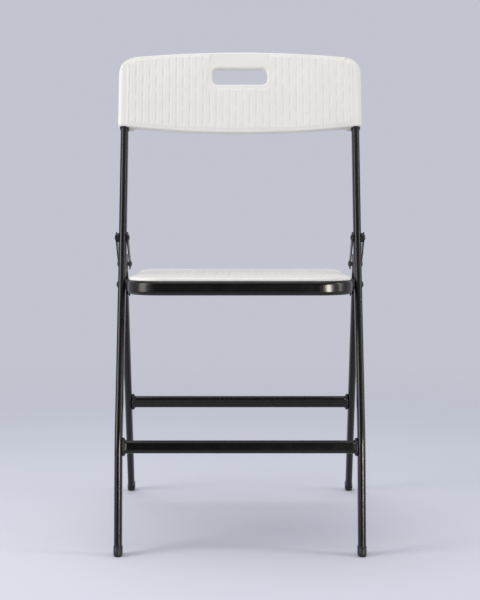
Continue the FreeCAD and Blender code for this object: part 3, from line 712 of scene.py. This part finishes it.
def seat_top(a, b):
    """Top face: rolled at its edge and very slightly dished."""
    distance = seat_edge_distance(a, b)
    dish = SEAT_DISH * fade_in(distance - DISH_START, DISH_RUN)
    return -(SEAT_RIM - edge_drop(distance, SEAT_EDGE_ROUND) - dish)


def seat_underside(a, b):
    distance = seat_edge_distance(a, b)
    return PAN_DEPTH * fade_in(distance - PAN_INSET, PAN_DRAFT) - edge_drop(distance, SEAT_UNDER_ROUND)


def seat_field(a, b):
    return fade_in(seat_edge_distance(a, b) - SEAT_BORDER, FIELD_FADE)


def build_seat(bm):
    columns = mirrored_steps(SEAT_HALF_WIDTH, STRAND_PITCH / STRAND_CUTS)
    shares = row_shares(SEAT_DEPTH, STRAND_LENGTH / ROWS_PER_STRAND)
    points = []
    for a in columns:
        front, rear = seat_outline(a)
        points += [(a, front + (rear - front) * s) for s in shares]
    rows = len(shares)
    faces = []
    for i in range(len(columns) - 1):
        for j in range(rows - 1):
            k = i * rows + j
            faces.append([k, k + rows, k + rows + 1, k + 1])
    moulding(bm, points, faces, seat_top, seat_underside, seat_field)


seat = mesh_object("seat_moulding", build_seat)
grow(
    seat, woven_strands, Pitch=STRAND_PITCH, Length=STRAND_LENGTH, Rise=STRAND_RISE,
    Outward=(0, -1, 0), Along=(0, 0, 1), Finish=polyethylene,
)
seat.data.transform(Matrix.Rotation(math.radians(-90 - SEAT_TIP), 4, "X"))
settle(seat, "seat_panel")
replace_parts(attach(seat, "seat"), "seat_panel")


# ---------------------------------------------------------------- black plastic trim
# Injection-moulded polypropylene: glides pushed over the four feet, collars where the uprights enter
# the backrest, plugs in the open tube ends, and the spacers at the seat pivots and links.
CAP_WALL = 1.2 * MM
CAP_HEIGHT = 16.0 * MM
TUBE = (13.0 * MM, 24.0 * MM)
TRIM_NODES = (
    "_seat_pivot_spacer", "_link_spacer", "_seat_frame_plug", "_rear_leg_plug", "_backrest_grommet"
)
# A ring's share of the glide's height, and how far in mm it stands out past the wall, or in if below 0.
CAP_RINGS = (
    (0.00, -3.6), (0.02, -2.3), (0.06, -1.4), (0.14, -0.7), (0.28, -0.35), (0.80, -0.35), (0.83, -0.7),
    (0.87, -0.7), (0.90, -0.1), (0.97, -0.1), (1.00, -0.3), (1.00, -1.0),
)


def foot_glide(bm, foot, up):
    """Closed sleeve whose sole is level on the floor and whose rim is square to the leg."""
    across = (Vector((1, 0, 0)) - up * up.x).normalized()
    along = across.cross(up).normalized()
    rings = []
    for share, growth in CAP_RINGS:
        size = [t + 2 * (CAP_WALL + growth * MM) for t in TUBE]
        ring = []
        for a, b in stadium(*size):
            side = across * a + along * b
            sole = -side.z / up.z
            ring.append(bm.verts.new(foot + side + up * (sole + (CAP_HEIGHT - sole) * share)))
        rings.append(ring)
    for lower, upper in zip(rings, rings[1:]):
        for k in range(len(lower)):
            m = (k + 1) % len(lower)
            bm.faces.new([lower[k], lower[m], upper[m], upper[k]])
    bm.faces.new(reversed(rings[0]))
    bm.faces.new(rings[-1])
    bmesh.ops.recalc_face_normals(bm, faces=bm.faces)
    for face in bm.faces:
        face.smooth = len(face.verts) == 4


polypropylene = finish("black_polypropylene", Specular_IOR_Level=0.4)
vary(polypropylene, "Base Color", 120.0, (0.010, 0.010, 0.011), (0.016, 0.016, 0.017))
vary(polypropylene, "Roughness", 200.0, 0.42, 0.55)
grain(polypropylene, [(1500.0, 0.0001, 0.25)])

for name, foot in feet.items():
    side, pair, _ = name.split("_")
    run = leg_direction[pair]
    up = Vector((run.x * SIDES[side], run.y, run.z))
    glide = mesh_object(name + "_glide", lambda bm: foot_glide(bm, foot, up))
    glide.data.materials.append(polypropylene)
    body = "front_frame" if pair == "front" else "rear_frame"
    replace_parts(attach(glide, body), name + "_cap")

for side in SIDES:
    for node in TRIM_NODES:
        coat(side + node, polypropylene)


# ---------------------------------------------------------------- rivets and screws
# Domed steel rivets at every pivot, and pan-head screws with a cross recess that hold both panels.
# All are blackened, a little unevenly.
black_steel = finish("blackened_steel", Metallic=0.35, Specular_IOR_Level=0.5)
vary(black_steel, "Base Color", 160.0, (0.010, 0.010, 0.011), (0.024, 0.024, 0.026))
vary(black_steel, "Roughness", 240.0, 0.26, 0.40)
grain(black_steel, [(900.0, 0.0001, 0.12)])
for side in SIDES:
    for node in ("_seat_pivot_rivet", "_rear_pivot_rivet", "_link_front_rivet", "_link_rear_rivet"):
        coat(side + node, black_steel)

SAME_POINT = 0.002 * MM
SHANK_RADIUS = 2.5 * MM
HEAD_RADIUS = 5.0 * MM
HEAD_HEIGHT = 1.8 * MM
RECESS_WIDTH = 1.1 * MM
RECESS_LENGTH = 4.6 * MM
RECESS_DEPTH = 1.1 * MM


def screw_tree():
    """A pan-head screw with a cross recess at every point, its head towards Outward."""
    tree, given, result = geometry_tree("pan_head_screw", {
        "Shank": "Float", "Head": "Float", "Height": "Float", "Length": "Float", "Outward": "Vector",
        "Recess": "Vector", "Finish": "Material",
    })
    height, radius = given.outputs["Height"], given.outputs["Head"]
    ball = node_in(tree, "GeometryNodeMeshUVSphere", Segments=32, Rings=24, Radius=radius)
    squat = node_in(tree, "ShaderNodeCombineXYZ", X=1.0, Y=1.0, Z=math_in(tree, "DIVIDE", height, radius))
    dome = node_in(
        tree, "GeometryNodeTransform", Geometry=ball.outputs["Mesh"], Scale=squat.outputs["Vector"]
    )
    wide = math_in(tree, "MULTIPLY", radius, 3.0)
    slab = node_in(
        tree, "ShaderNodeCombineXYZ", X=wide, Y=wide, Z=math_in(tree, "MULTIPLY", height, 2.0)
    )
    lower_half = node_in(tree, "GeometryNodeMeshCube", Size=slab.outputs["Vector"])
    under = node_in(tree, "ShaderNodeCombineXYZ", Z=math_in(tree, "MULTIPLY", height, -1.0))
    lowered = node_in(
        tree, "GeometryNodeTransform",
        Geometry=lower_half.outputs["Mesh"], Translation=under.outputs["Vector"],
    )
    arm = node_in(tree, "GeometryNodeMeshCube", Size=given.outputs["Recess"])
    lift = node_in(tree, "ShaderNodeCombineXYZ", Z=height)
    arms = [
        node_in(
            tree, "GeometryNodeTransform", Geometry=arm.outputs["Mesh"],
            Translation=lift.outputs["Vector"], Rotation=(0, 0, angle),
        ).outputs["Geometry"] for angle in (0.0, math.pi / 2)
    ]
    cut = node_in(
        tree, "GeometryNodeMeshBoolean", {"operation": "DIFFERENCE"}, i0=dome.outputs["Geometry"]
    )
    for cutter in (lowered.outputs["Geometry"], *arms):
        tree.links.new(cutter, cut.inputs[1])
    shank = node_in(
        tree, "GeometryNodeMeshCylinder",
        Vertices=24, Radius=given.outputs["Shank"], Depth=given.outputs["Length"],
    )
    half_down = math_in(tree, "MULTIPLY", given.outputs["Length"], -0.5)
    down = node_in(tree, "ShaderNodeCombineXYZ", Z=half_down)
    driven = node_in(
        tree, "GeometryNodeTransform", Geometry=shank.outputs["Mesh"], Translation=down.outputs["Vector"]
    )
    screw = node_in(tree, "GeometryNodeJoinGeometry", i0=cut.outputs["Mesh"])
    tree.links.new(driven.outputs["Geometry"], screw.inputs[0])
    aim = node_in(
        tree, "FunctionNodeAlignRotationToVector", {"axis": "Z"}, Vector=given.outputs["Outward"]
    )
    placed = node_in(
        tree, "GeometryNodeInstanceOnPoints", Points=given.outputs["Geometry"],
        Instance=screw.outputs["Geometry"], Rotation=aim.outputs["Rotation"],
    )
    solid = node_in(tree, "GeometryNodeRealizeInstances", Geometry=placed.outputs["Instances"])
    coated = node_in(
        tree, "GeometryNodeSetMaterial",
        Geometry=solid.outputs["Geometry"], Material=given.outputs["Finish"],
    )
    tree.links.new(coated.outputs["Geometry"], result.inputs["Geometry"])
    return tree


def separate_solids(node):
    """Corner points of each loose solid in a CAD node, always in the order of its mesh."""
    bm = bmesh.new()
    bm.from_mesh(frame["nodes"][node].data)
    bmesh.ops.remove_doubles(bm, verts=bm.verts, dist=SAME_POINT)
    seen, solids = set(), []
    for first in bm.verts:
        if first in seen:
            continue
        seen.add(first)
        queue, corners = [first], []
        while queue:
            vert = queue.pop()
            corners.append(vert.co.copy())
            for edge in vert.link_edges:
                other = edge.other_vert(vert)
                if other not in seen:
                    seen.add(other)
                    queue.append(other)
        solids.append(corners)
    bm.free()
    return solids


def head_seat(corners, outward):
    """Middle of a screw's axis where its head sits, and the length of its shank."""
    along = [c.dot(outward) for c in corners]
    axis = sum((c - outward * c.dot(outward) for c in corners), Vector()) / len(corners)
    return axis + outward * (max(along) - HEAD_HEIGHT), max(along) - min(along) - HEAD_HEIGHT


pan_head_screw = screw_tree()
seat_down = Matrix.Rotation(math.radians(-SEAT_TIP), 3, "X") @ Vector((0, 0, -1))
back_rearward = Matrix.Rotation(math.radians(-BACK_LEAN), 3, "X") @ Vector((0, 1, 0))
for node, body, outward in (
    ("seat_screws", "seat", seat_down), ("backrest_rivets", "front_frame", back_rearward)
):
    seats = [head_seat(corners, outward) for corners in separate_solids(node)]
    screws = mesh_object(node + "_driven", lambda bm: [bm.verts.new(place) for place, length in seats])
    grow(
        screws, pan_head_screw, Shank=SHANK_RADIUS, Head=HEAD_RADIUS, Height=HEAD_HEIGHT,
        Length=min(length for place, length in seats), Outward=outward,
        Recess=(RECESS_LENGTH, RECESS_WIDTH, 2 * RECESS_DEPTH), Finish=black_steel,
    )
    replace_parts(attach(screws, body), node)


# ---------------------------------------------------------------- link plates and brackets
# Pressed steel plates with round ends. They are stamped, tumbled so that their edges are soft, and
# powder-coated with the tubes; rivets hold them to the legs and the seat frame.
PLATE_EDGE_ROUND = 0.5 * MM
PLATE_EDGE_CUTS = 2
FLAT_ANGLE = 1.0
SHARP_ANGLE = 40.0


def softened(node):
    """Copy of a CAD node's mesh with its sharp edges rounded over."""
    source = frame["nodes"][node]
    piece = linked(bpy.data.objects.new(node + "_soft", source.data.copy()))
    bm = bmesh.new()
    bm.from_mesh(piece.data)
    bmesh.ops.remove_doubles(bm, verts=bm.verts, dist=0.002 * MM)
    bmesh.ops.dissolve_limit(bm, angle_limit=math.radians(FLAT_ANGLE), verts=bm.verts, edges=bm.edges)
    bm.to_mesh(piece.data)
    bm.free()
    bevel = piece.modifiers.new("softened", "BEVEL")
    bevel.width = PLATE_EDGE_ROUND
    bevel.segments = PLATE_EDGE_CUTS
    bevel.limit_method = "ANGLE"
    bevel.angle_limit = math.radians(SHARP_ANGLE)
    apply_modifiers(piece)
    for polygon in piece.data.polygons:
        polygon.use_smooth = True
    return piece


for side in SIDES:
    for node, body in (
        ("_outer_link", side + "_link"), ("_inner_link", side + "_link"), ("_rear_pivot_bracket", "seat")
    ):
        plate = softened(side + node)
        plate.data.materials.clear()
        plate.data.materials.append(powder_coat)
        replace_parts(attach(plate, body), side + node)
